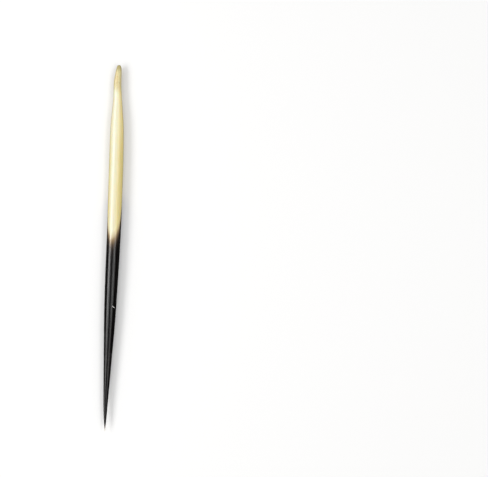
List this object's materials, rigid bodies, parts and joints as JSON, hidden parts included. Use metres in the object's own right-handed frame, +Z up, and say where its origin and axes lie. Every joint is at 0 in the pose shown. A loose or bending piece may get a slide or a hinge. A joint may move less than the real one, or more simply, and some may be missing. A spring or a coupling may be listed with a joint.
{
  "type": "porcupine quill",
  "caption": "Loose porcupine quill lying on its side, thick and faintly ridged, ivory at the root half and brown-black to the needle tip.",
  "frame": {"origin": "middle of the quill's bounding box in plan, on the surface that it rests on", "axes": "+Z up from the resting surface, +Y along the quill towards its root end, +X to the right when the quill is seen from above with its root end away from the viewer"},
  "size_m": [0.006, 0.15, 0.0052],
  "materials": {
    "keratin": "glossy, faintly translucent keratin with fine lengthwise ridges: ivory with a tan root end on the root half, a feathered brown edge, then brown-black to the tip"
  },
  "bodies": {
    "root": {"quill": "keratin"}
  },
  "joints": []
}
